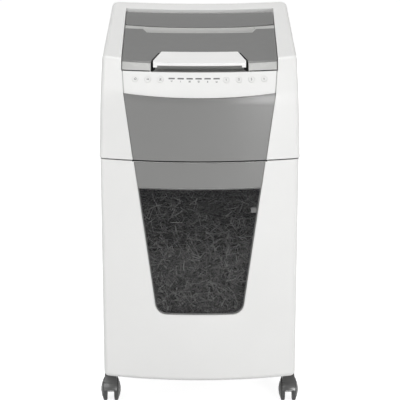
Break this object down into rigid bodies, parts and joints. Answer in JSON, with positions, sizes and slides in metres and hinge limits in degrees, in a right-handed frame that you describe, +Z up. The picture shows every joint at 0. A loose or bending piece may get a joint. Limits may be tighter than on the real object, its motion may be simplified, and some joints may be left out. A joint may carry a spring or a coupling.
{
  "type": "paper shredder",
  "caption": "Free-standing office paper shredder on casters: dished head with hinged stack lid, manual slot, control band and pull-out bin drawer with smoked window.",
  "frame": {"origin": "on the floor under the middle of the machine", "axes": "+Z up, front of the machine towards -Y, +X to the right seen from the front"},
  "size_m": [0.4202, 0.49, 0.7939],
  "materials": {
    "white_shell": "fine moulded texture",
    "grey_face": "fine moulded texture",
    "light_grey": "fine moulded texture",
    "smoked_window": "smoked clear plastic",
    "bin_plastic": "moulded",
    "caster_plastic": "moulded",
    "caster_tread": "satin",
    "steel": "ground",
    "sheet_steel": "zinc plated sheet",
    "gear_plastic": "moulded nylon",
    "roller_rubber": "matt",
    "bronze": "sintered",
    "board_green": "circuit board",
    "black_plastic": "moulded",
    "paper": "loose paper strips",
    "lens": "clear lamp bars",
    "key_cap": "moulded"
  },
  "bodies": {
    "cabinet": {"base_plate": "bin_plastic", "cabinet_shell": "white_shell", "drawer_runners": "sheet_steel", "head_base": "bin_plastic", "head_shell": "white_shell", "front_fascia": "grey_face", "control_panel": "white_shell", "control_board": "board_green", "status_lenses": "lens", "feed_tray": "bin_plastic", "cutter_side_plates": "sheet_steel", "frame_rods": "steel", "shaft_bearings": "bronze", "stripper_combs": "sheet_steel", "motor": "steel", "power_board": "board_green", "mains_inlet": "black_plastic", "drawer_switch": "black_plastic", "shell_screws": "steel", "lid_lock": "black_plastic"},
    "lid": {"lid_frame": "light_grey", "lid_rear_cover": "grey_face", "lid_front_cover": "grey_face", "slot_throat": "light_grey", "lid_hinge_pins": "steel", "lid_striker": "steel"},
    "handle": {"lid_handle": "white_shell"},
    "drawer": {"drawer_front": "white_shell", "drawer_band": "grey_face", "drawer_window": "smoked_window", "bin_tub": "bin_plastic", "bin_full_sensor": "light_grey", "paper_shreds": "paper"},
    "rear_cutter": {"cutter_rear": "steel", "sync_gear_rear": "steel", "drive_gear": "gear_plastic"},
    "front_cutter": {"cutter_front": "steel", "sync_gear_front": "steel"},
    "front_idler": {"idler_gear_front": "gear_plastic"},
    "rear_idler": {"idler_gear_rear": "gear_plastic"},
    "front_roller": {"feed_roller_front": "roller_rubber"},
    "rear_roller": {"feed_roller_rear": "roller_rubber"},
    "reduction": {"reduction_gear": "gear_plastic"},
    "motor_rotor": {"motor_pinion": "steel"},
    "rocker": {"mains_switch": "black_plastic"},
    "power_button": {"key_power": "key_cap"},
    "mode_button": {"key_mode": "key_cap"},
    "reverse_button": {"key_reverse": "key_cap"},
    "one_button": {"key_one": "key_cap"},
    "two_button": {"key_two": "key_cap"},
    "three_button": {"key_three": "key_cap"},
    "four_button": {"key_four": "key_cap"},
    "caster_front_left": {"caster_housing_front_left": "caster_plastic"},
    "wheels_front_left": {"caster_wheels_front_left": "caster_tread"},
    "caster_front_right": {"caster_housing_front_right": "caster_plastic"},
    "wheels_front_right": {"caster_wheels_front_right": "caster_tread"},
    "caster_rear_left": {"caster_housing_rear_left": "caster_plastic"},
    "wheels_rear_left": {"caster_wheels_rear_left": "caster_tread"},
    "caster_rear_right": {"caster_housing_rear_right": "caster_plastic"},
    "wheels_rear_right": {"caster_wheels_rear_right": "caster_tread"}
  },
  "joints": [
    {"name": "lid_open", "type": "hinge", "parent": "cabinet", "child": "lid", "pos_m": [0, 0.156, 0.76521], "axis": [-1, 0, 0], "range_deg": [0, 75]},
    {"name": "handle_lift", "type": "hinge", "parent": "lid", "child": "handle", "pos_m": [0, -0.131, 0.7431], "axis": [-1, 0, 0], "range_deg": [0, 15], "stiffness_Nm_per_rad": 0.3, "springref_deg": -5.73},
    {"name": "drawer_slide", "type": "slide", "parent": "cabinet", "child": "drawer", "axis": [0, -1, 0], "range_m": [0, 0.35]},
    {"name": "mains_rocker", "type": "hinge", "parent": "cabinet", "child": "rocker", "pos_m": [0.15, 0.23631, 0.591], "axis": [-1, 0, 0], "range_deg": [0, 14]},
    {"name": "rear_cutter_spin", "type": "hinge", "parent": "cabinet", "child": "rear_cutter", "pos_m": [0, 0.041, 0.64], "axis": [1, 0, 0], "continuous": true},
    {"name": "front_cutter_spin", "type": "hinge", "parent": "cabinet", "child": "front_cutter", "pos_m": [0, 0.007, 0.64], "axis": [1, 0, 0], "continuous": true},
    {"name": "front_idler_spin", "type": "hinge", "parent": "cabinet", "child": "front_idler", "pos_m": [0, -0.0155, 0.66132], "axis": [1, 0, 0], "continuous": true},
    {"name": "rear_idler_spin", "type": "hinge", "parent": "cabinet", "child": "rear_idler", "pos_m": [0, 0.06351, 0.66132], "axis": [1, 0, 0], "continuous": true},
    {"name": "front_roller_spin", "type": "hinge", "parent": "cabinet", "child": "front_roller", "pos_m": [0, -0.024, 0.688], "axis": [1, 0, 0], "continuous": true},
    {"name": "rear_roller_spin", "type": "hinge", "parent": "cabinet", "child": "rear_roller", "pos_m": [0, 0.072, 0.688], "axis": [1, 0, 0], "continuous": true},
    {"name": "reduction_spin", "type": "hinge", "parent": "cabinet", "child": "reduction", "pos_m": [0, 0.08556, 0.63374], "axis": [1, 0, 0], "continuous": true},
    {"name": "motor_spin", "type": "hinge", "parent": "cabinet", "child": "motor_rotor", "pos_m": [0, 0.11511, 0.62853], "axis": [1, 0, 0], "continuous": true},
    {"name": "key_power_press", "type": "slide", "parent": "cabinet", "child": "power_button", "axis": [0.1561, 0.8812, -0.4462], "range_m": [0, 0.0007], "stiffness_N_per_m": 500, "springref_m": -0.0006},
    {"name": "key_mode_press", "type": "slide", "parent": "cabinet", "child": "mode_button", "axis": [0.1255, 0.8861, -0.4462], "range_m": [0, 0.0007], "stiffness_N_per_m": 500, "springref_m": -0.0006},
    {"name": "key_reverse_press", "type": "slide", "parent": "cabinet", "child": "reverse_button", "axis": [0.0949, 0.8899, -0.4462], "range_m": [0, 0.0007], "stiffness_N_per_m": 500, "springref_m": -0.0006},
    {"name": "key_one_press", "type": "slide", "parent": "cabinet", "child": "one_button", "axis": [-0.0643, 0.8926, -0.4462], "range_m": [0, 0.0007], "stiffness_N_per_m": 500, "springref_m": -0.0006},
    {"name": "key_two_press", "type": "slide", "parent": "cabinet", "child": "two_button", "axis": [-0.0949, 0.8899, -0.4462], "range_m": [0, 0.0007], "stiffness_N_per_m": 500, "springref_m": -0.0006},
    {"name": "key_three_press", "type": "slide", "parent": "cabinet", "child": "three_button", "axis": [-0.1255, 0.8861, -0.4462], "range_m": [0, 0.0007], "stiffness_N_per_m": 500, "springref_m": -0.0006},
    {"name": "key_four_press", "type": "slide", "parent": "cabinet", "child": "four_button", "axis": [-0.1561, 0.8812, -0.4462], "range_m": [0, 0.0007], "stiffness_N_per_m": 500, "springref_m": -0.0006},
    {"name": "caster_front_left_swivel", "type": "hinge", "parent": "cabinet", "child": "caster_front_left", "pos_m": [-0.1904, -0.144, 0.077], "axis": [0, 0, 1], "continuous": true},
    {"name": "wheels_front_left_roll", "type": "hinge", "parent": "caster_front_left", "child": "wheels_front_left", "pos_m": [-0.1904, -0.161, 0.025], "axis": [1, 0, 0], "continuous": true},
    {"name": "caster_front_right_swivel", "type": "hinge", "parent": "cabinet", "child": "caster_front_right", "pos_m": [0.1904, -0.144, 0.077], "axis": [0, 0, 1], "continuous": true},
    {"name": "wheels_front_right_roll", "type": "hinge", "parent": "caster_front_right", "child": "wheels_front_right", "pos_m": [0.1904, -0.161, 0.025], "axis": [1, 0, 0], "continuous": true},
    {"name": "caster_rear_left_swivel", "type": "hinge", "parent": "cabinet", "child": "caster_rear_left", "pos_m": [-0.1904, 0.195, 0.077], "axis": [0, 0, 1], "continuous": true},
    {"name": "wheels_rear_left_roll", "type": "hinge", "parent": "caster_rear_left", "child": "wheels_rear_left", "pos_m": [-0.1904, 0.178, 0.025], "axis": [1, 0, 0], "continuous": true},
    {"name": "caster_rear_right_swivel", "type": "hinge", "parent": "cabinet", "child": "caster_rear_right", "pos_m": [0.1904, 0.195, 0.077], "axis": [0, 0, 1], "continuous": true},
    {"name": "wheels_rear_right_roll", "type": "hinge", "parent": "caster_rear_right", "child": "wheels_rear_right", "pos_m": [0.1904, 0.178, 0.025], "axis": [1, 0, 0], "continuous": true}
  ],
  "couplings": [
    {"joint": "front_cutter_spin", "follows": "rear_cutter_spin", "ratio": -1},
    {"joint": "rear_idler_spin", "follows": "rear_cutter_spin", "ratio": -1.2143},
    {"joint": "rear_roller_spin", "follows": "rear_cutter_spin", "ratio": 1.2143},
    {"joint": "front_idler_spin", "follows": "rear_cutter_spin", "ratio": 1.2143},
    {"joint": "front_roller_spin", "follows": "rear_cutter_spin", "ratio": -1.2143},
    {"joint": "reduction_spin", "follows": "rear_cutter_spin", "ratio": -4},
    {"joint": "motor_spin", "follows": "rear_cutter_spin", "ratio": 16}
  ]
}
